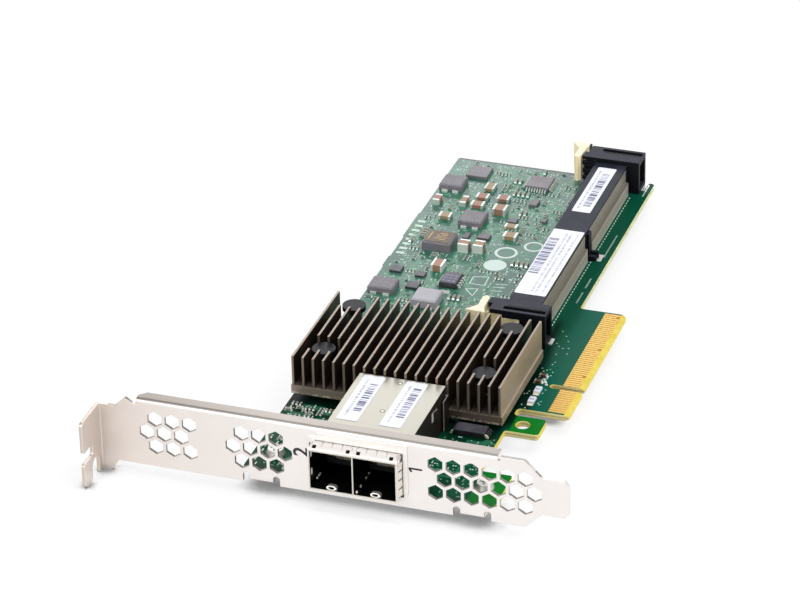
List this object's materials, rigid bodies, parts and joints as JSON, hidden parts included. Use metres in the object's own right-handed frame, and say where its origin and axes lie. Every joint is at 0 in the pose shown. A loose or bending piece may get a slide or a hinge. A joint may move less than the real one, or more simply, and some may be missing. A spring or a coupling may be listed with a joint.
{
  "type": "raid controller card",
  "caption": "Low-profile expansion card: finned heatsink, twin shielded ports in a vented slot bracket, finger edge connector and a latched cache-module socket.",
  "frame": {"origin": "finger edge of the board, at the centre of the key slot, half way through the board's thickness", "axes": "+X out of the finger edge towards the host slot, +Y from the slot bracket back along the board, +Z out of the component side"},
  "size_m": [0.12, 0.1822, 0.0216],
  "materials": {
    "solder_mask": "dark green solder mask over glass-fibre board, satin",
    "contact_gold": "gold plate over nickel, polished",
    "bracket_steel": "bright nickel plate on folded steel sheet",
    "cage_steel": "tin-nickel plate on thin stamped sheet",
    "spring_steel": "plain spring steel",
    "tin": "bright tin plate, satin",
    "sink_aluminium": "dark bronze anodised extrusion, satin",
    "connector_black": "moulded black polymer, matte",
    "socket_black": "moulded slate-black polymer, satin",
    "latch_cream": "moulded cream polymer, matte",
    "chip_black": "moulded epoxy, matte",
    "chip_substrate": "green laminate, satin",
    "lid_metal": "nickel-plated lid, satin",
    "pad_grey": "soft filled silicone sheet",
    "pin_plastic": "moulded dark polymer, satin",
    "ferrite": "pressed ferrite, matte",
    "plate_brown": "thin dark brown film, satin",
    "ceramic_brown": "fired brown dielectric, satin",
    "ceramic_olive": "fired olive dielectric, satin",
    "label_paper": "white coated label",
    "resistor_white": "white glazed chip resistor"
  },
  "bodies": {
    "card": {"circuit_board": "solder_mask", "edge_contacts_top": "contact_gold", "edge_contacts_bottom": "contact_gold", "bracket": "bracket_steel", "bracket_screws": "tin", "port_cage": "cage_steel", "cage_floor": "cage_steel", "cage_divider": "cage_steel", "cage_rear_cover": "cage_steel", "finger_collar": "cage_steel", "port_connectors": "connector_black", "port_contacts": "contact_gold", "cage_label_left": "label_paper", "cage_label_right": "label_paper", "controller_substrate": "chip_substrate", "controller_lid": "lid_metal", "thermal_pad": "pad_grey", "heatsink": "sink_aluminium", "push_pins": "pin_plastic", "pin_springs": "spring_steel", "socket_body": "socket_black", "socket_end_front": "socket_black", "socket_end_rear": "socket_black", "socket_tails_front": "tin", "socket_tails_rear": "tin", "slot_contacts": "contact_gold", "socket_peg": "socket_black", "socket_label_front": "label_paper", "socket_label_rear": "label_paper", "chokes": "ferrite", "choke_terminals": "tin", "power_choke": "ferrite", "power_choke_plate": "plate_brown", "capacitors_brown": "ceramic_brown", "capacitors_olive": "ceramic_olive", "capacitor_terminals": "tin", "logic_chip": "chip_black", "logic_chip_leads": "tin", "power_chip": "chip_black", "regulator": "chip_black", "regulator_leads": "tin", "flat_packages": "chip_black", "memory_chip": "chip_black", "memory_chip_leads": "tin", "filter_blocks": "resistor_white"},
    "front_lever": {"latch_front": "latch_cream"},
    "rear_lever": {"latch_rear": "latch_cream"}
  },
  "joints": [
    {"name": "front_latch_pivot", "type": "hinge", "parent": "card", "child": "front_lever", "pos_m": [-0.0244, 0.02045, 0.00553], "axis": [0, 0, 1], "range_deg": [0, 26]},
    {"name": "rear_latch_pivot", "type": "hinge", "parent": "card", "child": "rear_lever", "pos_m": [-0.0244, 0.10675, 0.00553], "axis": [0, 0, -1], "range_deg": [0, 26]}
  ]
}
